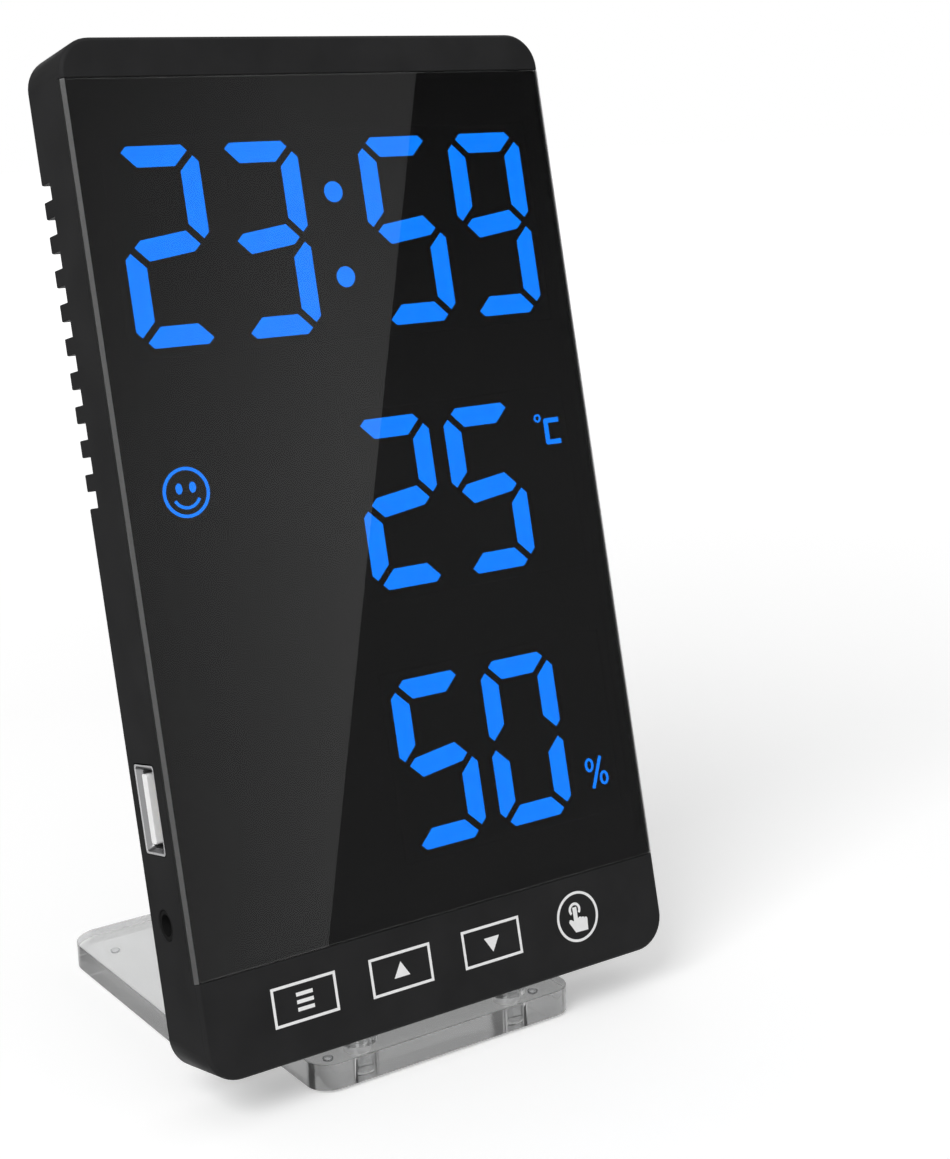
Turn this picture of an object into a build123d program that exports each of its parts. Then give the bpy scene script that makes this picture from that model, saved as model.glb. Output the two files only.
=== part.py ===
from build123d import *
import os
from math import cos, hypot, radians, sin, sqrt, tan

# A tabletop clock that shows the time, the temperature and the humidity, leaning back on a clear stand.
# X runs to the right as seen from the front, Y to the back and Z up, and the part stands on Z = 0.
# Inside the clock, places are given on its face: across from its middle, up from its bottom edge,
# and in depth behind its front.

# Clock body, measured square to its face
body_width = 90.0
body_height = 163.0
body_depth = 14.1
corner_radius = 5.7
edge_break = 0.57
rear_break = 0.4
wall = 2.0
lean_angle = 11.9
cut_over = 1.0

# Lens and the layers behind it
top_band = 6.4
bottom_band = 16.3
lens_gap = 0.06
lens_thickness = 1.2
film_thickness = 0.15
film_inset = 0.1
tape_thickness = 0.15
tape_width = 2.2
tape_inset = 0.3
panel_thickness = 1.0

# Display rows and the bars of a digit
display_offset = 0.35
side_margin = 6.3
display_margin_share = 0.07605
digit_gap = 3.0
colon_gap = 11.5
time_height_share = 0.22666
climate_height_share = 0.20314
unit_room = 15.0
bar = 3.38
bar_gap = 1.17
bar_tip = 0.97
bar_thickness = 1.5
colon_radius = 1.75
colon_spread = 14.2
shown_time = "2359"
shown_temperature = "25"
shown_humidity = "50"

# Small lit signs: degree C, per cent and the comfort face
sign_thickness = 0.1
diffuser_thickness = 0.8
unit_gap = 3.8
unit_drop_share = 0.1
unit_width = 5.15
unit_height = 5.55
unit_margin = 0.45
degree_radius = 0.73
degree_line = 0.35
letter_width = 3.2
letter_height = 4.65
letter_line = 0.86
letter_round = 0.5
percent_line = 0.6
percent_ring_width = 1.84
percent_ring_height = 2.46
percent_ring_line = 0.47
percent_ring_shares = [(0.19, 0.75), (0.74, 0.26)]
percent_slash_shares = [(0.25, 0.0), (0.68, 0.96)]
comfort_inset = 11.1
comfort_drop_share = 0.2709
comfort_box = 11.0
face_radius = 4.02
face_line = 0.53
smile_line = 0.5
eye_place_shares = (0.293, 0.17)
eye_size_shares = (0.14, 0.214)
smile_shares = [(-0.517, -0.283), (0.0, -0.603), (0.517, -0.283)]

# Light boxes and lamps
reflector_depth_share = 0.42453
reflector_margin = 1.5
window_gap = 0.15
led_size = 1.6
led_height = 0.7

# Touch keys on the bottom band
key_count = 4
key_width_share = 0.13
key_height = 6.4
key_level = 9.17
key_pitch_share = 0.19967
key_line = 0.45
ink = 0.05
symbol_size = 3.0
symbol_line = 0.6
touch_radius = 4.35
touch_line = 0.45
tap_radius_share = 0.23
tap_line_share = 0.105
tap_place_shares = (-0.1, 0.3)
tap_arc_start = -40.0
tap_arc_size = 260.0
finger_half_share = 0.096
hand_shares = [
    (0.0, -0.06), (0.45, -0.18), (0.42, -0.62), (-0.18, -0.6),
    (-0.44, -0.16), (-0.4, -0.06), (-0.33, -0.06), (-0.21, -0.14),
]
knuckle_shares = [(0.1, -0.1), (0.235, -0.135), (0.37, -0.17)]
knuckle_radius_share = 0.075
touch_board_bottom = 7.8
touch_board_height = 6.4
electrode_inset = 1.0
electrode_thickness = 0.1
electrode_margin = 1.5
header_width = 12.0
header_height = 2.4
header_place_share = 0.5

# Boards and their screws
board_thickness = 1.0
board_gap = 0.5
board_screw_inset = 4.0
standoff_radius = 1.8
board_screw_radius = 0.9
board_screw_bite_share = 0.75
board_head_radius = 1.7
board_head_height = 1.1
board_hole_gap = 0.2

# Parts on the rear of the main board, with places as shares of the board's half width and height
chip_leg_width = 0.4
chip_leg_reach = 1.0
chip_leg_thickness = 0.25
chip_leg_pitch = 1.27
controller_size = (18.0, 7.5, 2.3)
controller_share = (0.12, 0.83)
driver_size = (15.0, 5.4, 1.9)
driver_shares = [(-0.42, 0.83), (0.5, 0.42)]
crystal_radius = 1.0
crystal_length = 6.0
crystal_share = (0.62, 0.8)
capacitor_size = (3.5, 2.8, 1.9)
capacitor_shares = [(0.55, 0.93), (0.78, 0.93), (0.2, 0.42), (0.2, 0.36)]
resistor_size = (2.0, 1.25, 0.6)
resistor_span_share = 0.14
resistor_count = 8
resistor_share = (0.55, 0.22)
buzzer_radius = 6.0
buzzer_height_share = 0.62
buzzer_hole_radius = 1.0
buzzer_share = (0.62, 0.14)
sensor_size = (9.0, 12.0)
sensor_height_share = 0.66
sensor_share = (-0.84, 0.75)
sensor_slot_width = 1.0
sensor_slot_depth_share = 0.35
sensor_slots = 4

# Power board, its parts and its ribbon
connector_gap = 0.4
power_board_thickness = 0.8
power_board_bottom = 16.3
power_board_gap = 3.0
power_screw_inset = 3.2
regulator_size = (4.6, 4.1, 1.6)
filter_size = (3.2, 3.2, 2.2)
power_part_pitch = 6.5
ribbon_width = 8.0
ribbon_thickness = 0.8
ribbon_foot = 2.2
ribbon_rise_share = 0.4
ribbon_level_share = 0.4

# USB outlet in the left side
usb_level_share = 0.2638
usb_width = 13.1
usb_thickness = 5.7
usb_length = 14.0
usb_sheet = 0.3
usb_corner = 0.6
usb_sink = 0.9
flare_width = 14.3
flare_thickness = 7.3
flare_length = 1.0
ear_width = 1.2
ear_length = 5.0
tongue_width = 11.1
tongue_thickness = 1.84
tongue_corner = 0.4
tongue_inset = 0.4
tongue_offset = 0.9
usb_base_length = 2.6
usb_contact_width = 1.0
usb_contact_thickness = 0.2
usb_contact_inset = 1.2
usb_inner_contact = 1.0
usb_outer_contact = 3.5
port_gap = 0.12

# DC inlet in the left side
jack_level_share = 0.15092
jack_nose_radius = 2.4
jack_bore_radius = 1.8
jack_bore_depth = 9.5
jack_pin_radius = 0.65
jack_pin_inset = 2.4
jack_width = 6.4
jack_thickness = 5.8
jack_axis_height = 2.4
jack_length = 12.0
jack_recess = 0.2
jack_spring_width = 1.4
jack_spring_thickness = 0.3

# Cooling slots, cut through the rear left edge
vent_count = 10
vent_drop = 20.4
vent_height = 2.68
vent_pitch = 5.44
vent_depth = 3.6
vent_reach = 3.4

# Rear cover and case screws
cover_thickness = 2.0
cover_gap = 0.12
boss_inset = 6.5
boss_radius = 3.0
case_screw_radius = 1.1
case_screw_length = 8.0
case_head_radius = 2.1
case_hole_gap = 0.2
screw_recess = 0.1
countersink_angle = 90.0
cross_length_share = 0.55
cross_width = 0.5
cross_depth = 0.6
sound_hole_radius = 0.8
sound_ring_share = 0.6
sound_hole_count = 6

# Memory battery, its well in the rear cover and its turning cover
battery_side_gap = 3.0
coin_radius = 8.0
coin_thickness = 3.2
coin_gap = 0.3
coin_play = 0.15
twist_radius = 10.0
twist_thickness = 1.8
twist_gap = 0.25
twist_open_angle = 60.0
twist_break = 0.2
lug_reach = 11.2
lug_width = 4.6
lug_gap = 0.12
ledge = 0.8
well_wall = 1.2
well_floor = 1.0
coin_slot_length = 12.0
coin_slot_width = 1.8
coin_slot_depth = 0.8
contact_thickness = 0.3
contact_width = 2.4
contact_gap = 0.1
contact_spread = 3.4

# Clear stand
plate_thickness = 4.5
stand_front = 1.2
stand_rear = 77.0
shoulder_back = 18.0
tongue_plate_width = 51.2
rear_plate_width = 72.8
front_round = 4.0
rear_round = 6.0
shoulder_round_share = 0.37
stand_break = 0.06
stand_gap = 0.2
peg_radius = 2.4
peg_spacing = 30.0
peg_back = 6.9
peg_engagement = 6.0
peg_break = 0.4
peg_gap = 0.08
peg_top_gap = 0.4
socket_wall = 1.1
pad_radius = 3.4
foot_radius = 0.9
foot_height = 0.5
foot_break = 0.15
front_foot_inset = 5.0
rear_foot_inset = 6.0
front_foot_back = 7.0
rear_foot_back = 8.3

# Depths behind the front face
shelf = lens_thickness + film_thickness + tape_thickness
panel_back = shelf + panel_thickness
cover_inner = body_depth - cover_thickness
board_front = shelf + reflector_depth_share * (cover_inner - shelf)
board_back = board_front + board_thickness
rear_room = cover_inner - board_back
power_back = cover_inner - connector_gap - jack_thickness
power_front = power_back - power_board_thickness
usb_depth = power_back - usb_sink + usb_thickness / 2
jack_depth = power_back + jack_axis_height

# Lens and digits on the face
half_width = body_width / 2
body_centre = (0, body_height / 2)
lens_top = body_height - top_band
lens_height = lens_top - bottom_band
lens_centre = (0, bottom_band + lens_height / 2)
digit_width = (body_width - 2 * side_margin - 2 * digit_gap - colon_gap) / 4
display_margin = display_margin_share * lens_height
time_height = time_height_share * lens_height
climate_height = climate_height_share * lens_height
unit_drop = unit_drop_share * climate_height
comfort_drop = comfort_drop_share * climate_height
row_gap = (lens_height - 2 * display_margin - time_height - 2 * climate_height) / 2
time_bottom = lens_top - display_margin - time_height
time_middle = time_bottom + time_height / 2
temperature_bottom = time_bottom - row_gap - climate_height
humidity_bottom = temperature_bottom - row_gap - climate_height
hour_right = display_offset - colon_gap / 2
minute_left = display_offset + colon_gap / 2
climate_right = half_width - unit_room
unit_left = climate_right + unit_gap
comfort_centre = (comfort_inset - half_width, temperature_bottom + climate_height - comfort_drop)
degree_corner = (unit_left, temperature_bottom + climate_height - unit_drop - unit_height)
percent_corner = (unit_left, humidity_bottom + unit_drop)
key_pitch = key_pitch_share * body_width
key_width = key_width_share * body_width
key_places = [((place - (key_count - 1) / 2) * key_pitch, key_level) for place in range(key_count)]
usb_level = usb_level_share * body_height
jack_level = jack_level_share * body_height

# Battery, boards and screws on the face
inner_half = half_width - wall
groove_radius = hypot(lug_reach, lug_width / 2) + twist_gap
well_radius = groove_radius + well_wall
coin_back = body_depth - twist_thickness - coin_play
coin_front = coin_back - coin_thickness
well_bottom = coin_front - contact_thickness
notch_top = comfort_centre[1] - comfort_box / 2 - board_gap
battery_centre = (battery_side_gap + well_radius - inner_half, notch_top - board_gap - well_radius)
board_right = inner_half - board_gap
board_bottom = boss_inset + boss_radius + board_gap
board_top = body_height - boss_inset - boss_radius - board_gap
notch_right = battery_centre[0] + well_radius + board_gap
power_right = notch_right - power_board_gap
power_top = battery_centre[1] - well_radius - board_gap
touch_board_width = body_width - 2 * (boss_inset + boss_radius + board_gap)
touch_board_top = touch_board_bottom + touch_board_height
touch_back = panel_back + electrode_thickness + board_thickness
screw_right = board_right - board_screw_inset
upper_screws = (time_bottom + time_height + reflector_margin + board_top) / 2
middle_screws = time_bottom - row_gap / 2
lower_screws = (humidity_bottom - reflector_margin + touch_board_top) / 2
board_screw_places = [
    (-screw_right, upper_screws),
    (screw_right, upper_screws),
    (battery_centre[0], middle_screws),
    (screw_right, middle_screws),
    (notch_right + board_screw_inset, lower_screws),
    (screw_right, lower_screws),
]
port_middle = (jack_level + jack_width / 2 + usb_level - flare_width / 2) / 2
power_screw_places = [
    (power_right - power_screw_inset, power_board_bottom + power_screw_inset),
    (power_right - power_screw_inset, power_top - power_screw_inset),
    (board_screw_inset - board_right, port_middle),
]
case_screw_places = [
    (side * (half_width - boss_inset), level)
    for side in (-1, 1)
    for level in (boss_inset, body_height - boss_inset)
]

# The clock's face leans back, and its rear bottom edge clears the stand's plate
lean = radians(lean_angle)
plate_top = foot_height + plate_thickness
face_height = plate_top + stand_gap + body_depth * sin(lean)
front_reach = edge_break * sin(lean)
face_back = -(front_reach + stand_rear) / 2
face = Plane(origin=(0, face_back, face_height), x_dir=(1, 0, 0), z_dir=(0, -cos(lean), sin(lean)))
out_axis = Axis(face.origin, face.z_dir)
up_axis = Axis(face.origin, face.y_dir)
peg_places = [(side * peg_spacing / 2, face_back + peg_back) for side in (-1, 1)]
peg_mouth = face_height - peg_back * tan(lean)
peg_top = peg_mouth + peg_engagement

os.makedirs("parts", exist_ok=True)


def save(piece, name):
    """Label a finished piece and write it."""
    piece.part.label = name
    export_step(piece.part, f"parts/{name}.step")


def behind(depth):
    """Plane parallel to the face, at this depth behind it, that looks to the front."""
    return face.offset(-depth)


def rear_at(depth):
    """Plane at this depth behind the face that looks to the rear, with its X to the left."""
    return Plane(origin=behind(depth).origin, x_dir=(-1, 0, 0), z_dir=-face.z_dir)


def side_at(inset):
    """Plane inside the left side that looks out of it, with X up the face and Y in depth."""
    origin = face.from_local_coords((inset - half_width, 0, 0))
    return Plane(origin=origin, x_dir=face.y_dir, z_dir=(-1, 0, 0))


def level_at(height):
    """Plane square to the face at this height, with X across and Y in depth."""
    return Plane(origin=face.from_local_coords((0, height, 0)), x_dir=(1, 0, 0), z_dir=face.y_dir)


def slab(width, height, centre, front, back, radius=0, mode=Mode.ADD):
    """Rectangular block between two depths behind the face."""
    with BuildSketch(behind(front)) as outline:
        with Locations(centre):
            if radius > 0:
                RectangleRounded(width, height, radius)
            else:
                Rectangle(width, height)
    extrude(outline.sketch, amount=front - back, dir=face.z_dir, mode=mode)


def post(radius, centres, front, back, mode=Mode.ADD):
    """Round posts, or holes, between two depths behind the face."""
    with BuildSketch(behind(front)) as outline:
        with Locations(*centres):
            Circle(radius)
    extrude(outline.sketch, amount=front - back, dir=face.z_dir, mode=mode)


def side_block(width, thickness, centre, outer, inner, radius=0, mode=Mode.ADD):
    """Rectangular block between two distances inside the left side."""
    with BuildSketch(side_at(outer)) as outline:
        with Locations(centre):
            if radius > 0:
                RectangleRounded(width, thickness, radius)
            else:
                Rectangle(width, thickness)
    extrude(outline.sketch, amount=inner - outer, dir=(1, 0, 0), mode=mode)


def side_post(radius, centre, outer, inner, mode=Mode.ADD):
    """Round post, or hole, between two distances inside the left side."""
    with BuildSketch(side_at(outer)) as outline:
        with Locations(centre):
            Circle(radius)
    extrude(outline.sketch, amount=inner - outer, dir=(1, 0, 0), mode=mode)


def cut_vents():
    """Cut the cooling slots through the rear left edge of the piece in hand."""
    depth = vent_depth + cut_over
    for slot in range(vent_count):
        level = body_height - vent_drop - vent_height / 2 - slot * vent_pitch
        centre = (level, body_depth - vent_depth + depth / 2)
        side_block(vent_height, depth, centre, -cut_over, vent_reach, mode=Mode.SUBTRACT)


def across(points, axis):
    """Mirror image of an outline across the upright line at this place."""
    return [(2 * axis - x, y) for x, y in reversed(points)]


def below(points, axis):
    """Mirror image of an outline across the level line at this height."""
    return [(x, 2 * axis - y) for x, y in reversed(points)]


def digit_bars(left, bottom, height):
    """Outlines of the seven bars of one digit: a to d and e, f round it, g slanting across its middle."""
    right = left + digit_width
    top = bottom + height
    centre = left + digit_width / 2
    middle = bottom + height / 2
    spread = bar_gap / sqrt(2)
    end = bar_tip + spread
    taper = bar - bar_tip
    third = bar / 3
    top_bar = [
        (left + end, top - bar_tip),
        (left + end + taper, top - bar),
        (right - end - taper, top - bar),
        (right - end, top - bar_tip),
        (right - end - bar_tip, top),
        (left + end + bar_tip, top),
    ]
    upper_right = [
        (right - bar_tip, top - end),
        (right - bar, top - end - taper),
        (right - bar, middle + spread + taper),
        (right - bar_tip, middle + spread),
        (right, middle + spread + bar_tip),
        (right, top - end - bar_tip),
    ]
    slant = [
        (left + end, middle),
        (left + end + 2 * third, middle - 2 * third),
        (right - end - third, middle - third),
        (right - end, middle),
        (right - end - 2 * third, middle + 2 * third),
        (left + end + third, middle + third),
    ]
    return {
        "a": top_bar,
        "b": upper_right,
        "c": below(upper_right, middle),
        "d": below(top_bar, middle),
        "e": below(across(upper_right, centre), middle),
        "f": across(upper_right, centre),
        "g": slant,
    }


lit_bars = {
    "0": "abcdef", "1": "bc", "2": "abdeg", "3": "abcdg", "4": "bcfg",
    "5": "acdfg", "6": "acdefg", "7": "abc", "8": "abcdefg", "9": "abcdfg",
}


def split_bars(shown, lefts, bottom, height):
    """Outlines of a row's lit bars and of its dark bars."""
    lit = []
    dark = []
    for figure, left in zip(shown, lefts):
        for letter, outline in digit_bars(left, bottom, height).items():
            row = lit if letter in lit_bars[figure] else dark
            row.append(outline)
    return lit, dark


time_lefts = [
    hour_right - 2 * digit_width - digit_gap,
    hour_right - digit_width,
    minute_left,
    minute_left + digit_width + digit_gap,
]
climate_lefts = [climate_right - 2 * digit_width - digit_gap, climate_right - digit_width]
time_lit, time_dark = split_bars(shown_time, time_lefts, time_bottom, time_height)
warm_lit, warm_dark = split_bars(shown_temperature, climate_lefts, temperature_bottom, climate_height)
damp_lit, damp_dark = split_bars(shown_humidity, climate_lefts, humidity_bottom, climate_height)
colon_places = [(display_offset, time_middle + side * colon_spread / 2) for side in (-1, 1)]
unit_places = [
    (corner[0] + unit_width / 2, corner[1] + unit_height / 2)
    for corner in (degree_corner, percent_corner)
]
unit_hole = (unit_width + 2 * unit_margin, unit_height + 2 * unit_margin)

# Light boxes: the time across the whole width, temperature and humidity with their units, comfort face
time_box_width = time_lefts[-1] + digit_width - time_lefts[0] + 2 * reflector_margin
time_box_height = time_height + 2 * reflector_margin
time_box_centre = (display_offset, time_middle)
climate_box_left = climate_lefts[0] - reflector_margin
climate_box_right = unit_left + unit_width + reflector_margin
climate_box_width = climate_box_right - climate_box_left
climate_box_height = climate_height + 2 * reflector_margin
climate_box_across = (climate_box_left + climate_box_right) / 2
warm_box_centre = (climate_box_across, temperature_bottom + climate_height / 2)
damp_box_centre = (climate_box_across, humidity_bottom + climate_height / 2)
light_boxes = [
    (time_box_width, time_box_height, time_box_centre),
    (climate_box_width, climate_box_height, warm_box_centre),
    (climate_box_width, climate_box_height, damp_box_centre),
    (comfort_box, comfort_box, comfort_centre),
]


def bar_blocks(outlines, front, back, mode=Mode.ADD):
    """Blocks, or holes, with these outlines between two depths."""
    with BuildSketch(behind(front)) as bars:
        for outline in outlines:
            Polygon(*outline, align=None)
    extrude(bars.sketch, amount=front - back, dir=face.z_dir, mode=mode)


# Front housing: a tub with the two bands, the shelf behind the lens and everything that the boards hang on
with BuildPart() as front_housing:
    slab(body_width, body_height, body_centre, 0, body_depth, corner_radius)
    chamfer(front_housing.faces().sort_by(out_axis)[-1].edges(), edge_break)
    chamfer(front_housing.faces().sort_by(out_axis)[0].edges(), rear_break)
    slab(2 * inner_half, body_height - 2 * wall, body_centre, panel_back, body_depth + cut_over,
         corner_radius - wall, Mode.SUBTRACT)
    slab(body_width + 2 * cut_over, lens_height + 2 * lens_gap, lens_centre, -cut_over, shelf,
         mode=Mode.SUBTRACT)
    for box_width, box_height, box_centre in light_boxes:
        slab(box_width + 2 * window_gap, box_height + 2 * window_gap, box_centre,
             shelf - cut_over, panel_back + cut_over, mode=Mode.SUBTRACT)
    post(boss_radius, case_screw_places, panel_back, cover_inner)
    post(case_screw_radius, case_screw_places, body_depth - case_screw_length - screw_recess,
         cover_inner + cut_over, Mode.SUBTRACT)
    post(standoff_radius, board_screw_places, panel_back, board_front)
    post(board_screw_radius, board_screw_places, panel_back, board_front + cut_over, Mode.SUBTRACT)
    post(standoff_radius, power_screw_places, panel_back, power_front)
    post(board_screw_radius, power_screw_places, panel_back, power_front + cut_over, Mode.SUBTRACT)
    side_block(flare_width + 2 * port_gap, flare_thickness + 2 * port_gap, (usb_level, usb_depth),
               -cut_over, wall + cut_over, usb_corner + port_gap, Mode.SUBTRACT)
    side_post(jack_nose_radius + port_gap, (jack_level, jack_depth), -cut_over, wall + cut_over,
              Mode.SUBTRACT)
    cut_vents()
    with BuildSketch(Plane.XY.offset(peg_mouth + wall / 2)) as socket_outline:
        with Locations(*peg_places):
            Circle(peg_radius + peg_gap + socket_wall)
    extrude(amount=peg_engagement + peg_top_gap + socket_wall - wall / 2)
    with BuildSketch(Plane.XY.offset(plate_top)) as socket_bore:
        with Locations(*peg_places):
            Circle(peg_radius + peg_gap)
    extrude(amount=peg_top + peg_top_gap - plate_top, mode=Mode.SUBTRACT)
save(front_housing, "front_housing")

# Clear lens, as wide as the body, with bevelled long edges
with BuildPart() as front_lens:
    slab(body_width, lens_height, lens_centre, 0, lens_thickness)
    chamfer(front_lens.faces().sort_by(out_axis)[-1].edges().filter_by(up_axis), edge_break)
save(front_lens, "front_lens")

# Dark half mirror on the rear of the lens
with BuildPart() as mirror_film:
    slab(body_width - 2 * film_inset, lens_height - 2 * film_inset, lens_centre,
         lens_thickness, lens_thickness + film_thickness)
save(mirror_film, "mirror_film")

# Double-sided tape between the film's rim and the shelf
tape_outer = (body_width - 2 * film_inset - 2 * tape_inset, lens_height - 2 * film_inset - 2 * tape_inset)
with BuildPart() as lens_tape:
    slab(*tape_outer, lens_centre, shelf - tape_thickness, shelf)
    slab(tape_outer[0] - 2 * tape_width, tape_outer[1] - 2 * tape_width, lens_centre,
         shelf - tape_thickness - cut_over, shelf + cut_over, mode=Mode.SUBTRACT)
save(lens_tape, "lens_tape")

# Light box of the time
with BuildPart() as time_reflector:
    slab(*light_boxes[0], shelf, board_front)
    bar_blocks(time_lit + time_dark, shelf - cut_over, board_front + cut_over, Mode.SUBTRACT)
    post(colon_radius, colon_places, shelf - cut_over, board_front + cut_over, Mode.SUBTRACT)
save(time_reflector, "time_reflector")

# Light boxes of the temperature and of the humidity, each with a hole for its unit sign
with BuildPart() as temperature_reflector:
    slab(*light_boxes[1], shelf, board_front)
    bar_blocks(warm_lit + warm_dark, shelf - cut_over, board_front + cut_over, Mode.SUBTRACT)
    slab(*unit_hole, unit_places[0], shelf - cut_over, board_front + cut_over, mode=Mode.SUBTRACT)
save(temperature_reflector, "temperature_reflector")

with BuildPart() as humidity_reflector:
    slab(*light_boxes[2], shelf, board_front)
    bar_blocks(damp_lit + damp_dark, shelf - cut_over, board_front + cut_over, Mode.SUBTRACT)
    slab(*unit_hole, unit_places[1], shelf - cut_over, board_front + cut_over, mode=Mode.SUBTRACT)
save(humidity_reflector, "humidity_reflector")

# Light box of the comfort face
comfort_hole_radius = face_radius + unit_margin
with BuildPart() as comfort_reflector:
    slab(*light_boxes[3], shelf, board_front)
    post(comfort_hole_radius, [comfort_centre], shelf - cut_over, board_front + cut_over, Mode.SUBTRACT)
save(comfort_reflector, "comfort_reflector")

# Lit bars, set into the mouths of the light boxes
with BuildPart() as time_bars:
    bar_blocks(time_lit, shelf, shelf + bar_thickness)
save(time_bars, "time_bars")

with BuildPart() as temperature_bars:
    bar_blocks(warm_lit, shelf, shelf + bar_thickness)
save(temperature_bars, "temperature_bars")

with BuildPart() as humidity_bars:
    bar_blocks(damp_lit, shelf, shelf + bar_thickness)
save(humidity_bars, "humidity_bars")

with BuildPart() as dark_bars:
    bar_blocks(time_dark + warm_dark + damp_dark, shelf, shelf + bar_thickness)
save(dark_bars, "dark_bars")

with BuildPart() as colon_dots:
    post(colon_radius, colon_places, shelf, shelf + bar_thickness)
save(colon_dots, "colon_dots")

# Diffuser plates behind the small signs
diffuser_front = shelf + sign_thickness
with BuildPart() as sign_diffusers:
    for unit_place in unit_places:
        slab(*unit_hole, unit_place, diffuser_front, diffuser_front + diffuser_thickness)
    post(comfort_hole_radius, [comfort_centre], diffuser_front, diffuser_front + diffuser_thickness)
save(sign_diffusers, "sign_diffusers")

# Degree C and per cent signs
letter_corner = (degree_corner[0] + unit_width - letter_width, degree_corner[1])
degree_place = (degree_corner[0] + degree_radius, degree_corner[1] + unit_height - degree_radius)
letter_centre = (letter_corner[0] + letter_width / 2, letter_corner[1] + letter_height / 2)
letter_gap = (letter_centre[0] + letter_line, letter_centre[1])
percent_rings = [
    (percent_corner[0] + x * unit_width, percent_corner[1] + y * unit_height)
    for x, y in percent_ring_shares
]
percent_slash = [
    (percent_corner[0] + x * unit_width, percent_corner[1] + y * unit_height)
    for x, y in percent_slash_shares
]
with BuildPart() as unit_signs:
    with BuildSketch(behind(shelf)) as unit_outline:
        with Locations(letter_centre):
            Rectangle(letter_width, letter_height)
        fillet(unit_outline.vertices().sort_by(Axis.X)[:2], letter_round)
        with Locations(letter_gap):
            Rectangle(letter_width, letter_height - 2 * letter_line, mode=Mode.SUBTRACT)
        with Locations(degree_place):
            Circle(degree_radius)
            Circle(degree_radius - degree_line, mode=Mode.SUBTRACT)
        with Locations(*percent_rings):
            Ellipse(percent_ring_width / 2, percent_ring_height / 2)
        with Locations(*percent_rings):
            Ellipse(percent_ring_width / 2 - percent_ring_line, percent_ring_height / 2 - percent_ring_line,
                    mode=Mode.SUBTRACT)
        with BuildLine():
            Line(*percent_slash)
        trace(line_width=percent_line)
    extrude(unit_outline.sketch, amount=-sign_thickness, dir=face.z_dir)
save(unit_signs, "unit_signs")

# Comfort face: ring, two eyes and a smile
face_points = [
    (comfort_centre[0] + x * face_radius, comfort_centre[1] + y * face_radius) for x, y in smile_shares
]
eye_places = [
    (comfort_centre[0] + side * eye_place_shares[0] * face_radius,
     comfort_centre[1] + eye_place_shares[1] * face_radius)
    for side in (-1, 1)
]
with BuildPart() as comfort_face:
    with BuildSketch(behind(shelf)) as face_outline:
        with Locations(comfort_centre):
            Circle(face_radius)
            Circle(face_radius - face_line, mode=Mode.SUBTRACT)
        with Locations(*eye_places):
            Ellipse(eye_size_shares[0] * face_radius, eye_size_shares[1] * face_radius)
        with BuildLine():
            ThreePointArc(*face_points)
        trace(line_width=smile_line)
    extrude(face_outline.sketch, amount=-sign_thickness, dir=face.z_dir)
save(comfort_face, "comfort_face")

# One lamp behind each bar, dot and sign
all_bars = time_lit + time_dark + warm_lit + warm_dark + damp_lit + damp_dark
lamp_places = [
    (sum(x for x, y in outline) / len(outline), sum(y for x, y in outline) / len(outline))
    for outline in all_bars
]
lamp_places += colon_places + unit_places + [comfort_centre]
with BuildPart() as led_chips:
    with BuildSketch(behind(board_front - led_height)) as lamp_outline:
        with Locations(*lamp_places):
            Rectangle(led_size, led_size)
    extrude(lamp_outline.sketch, amount=-led_height, dir=face.z_dir)
save(led_chips, "led_chips")

# Main board: cut away at the lower left for the ports and the battery
main_outline = [
    (notch_right, board_bottom),
    (board_right, board_bottom),
    (board_right, board_top),
    (-board_right, board_top),
    (-board_right, notch_top),
    (notch_right, notch_top),
]
with BuildPart() as main_board:
    bar_blocks([main_outline], board_front, board_back)
    post(board_screw_radius + board_hole_gap, board_screw_places, board_front - cut_over,
         board_back + cut_over, Mode.SUBTRACT)
save(main_board, "main_board")


def on_board(shares):
    """Place on the main board from shares of its half width and of its height."""
    return (shares[0] * board_right, board_bottom + shares[1] * (board_top - board_bottom))


def chip(size, place):
    """Chip with a row of legs along its upper and lower sides, on the rear of the main board."""
    width, height, thickness = size
    slab(width, height, place, board_back, board_back + thickness)
    legs = int((width - chip_leg_width) / chip_leg_pitch)
    first = place[0] - (legs - 1) * chip_leg_pitch / 2
    for leg in range(legs):
        slab(chip_leg_width, height + 2 * chip_leg_reach, (first + leg * chip_leg_pitch, place[1]),
             board_back, board_back + chip_leg_thickness)


with BuildPart() as microcontroller:
    chip(controller_size, on_board(controller_share))
save(microcontroller, "microcontroller")

with BuildPart() as display_drivers:
    for driver_share in driver_shares:
        chip(driver_size, on_board(driver_share))
save(display_drivers, "display_drivers")

# Crystal can, lying on the board
crystal_place = on_board(crystal_share)
with BuildPart() as clock_crystal:
    with BuildSketch(level_at(crystal_place[1] - crystal_length / 2)):
        with Locations((crystal_place[0], board_back + crystal_radius)):
            Circle(crystal_radius)
    extrude(amount=crystal_length)
save(clock_crystal, "clock_crystal")

with BuildPart() as capacitors:
    for capacitor_share in capacitor_shares:
        slab(*capacitor_size[:2], on_board(capacitor_share), board_back, board_back + capacitor_size[2])
save(capacitors, "capacitors")

resistor_pitch = resistor_span_share * (board_top - board_bottom) / (resistor_count - 1)
with BuildPart() as resistors:
    resistor_first = on_board(resistor_share)
    for place in range(resistor_count):
        centre = (resistor_first[0], resistor_first[1] + place * resistor_pitch)
        slab(*resistor_size[:2], centre, board_back, board_back + resistor_size[2])
save(resistors, "resistors")

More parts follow.
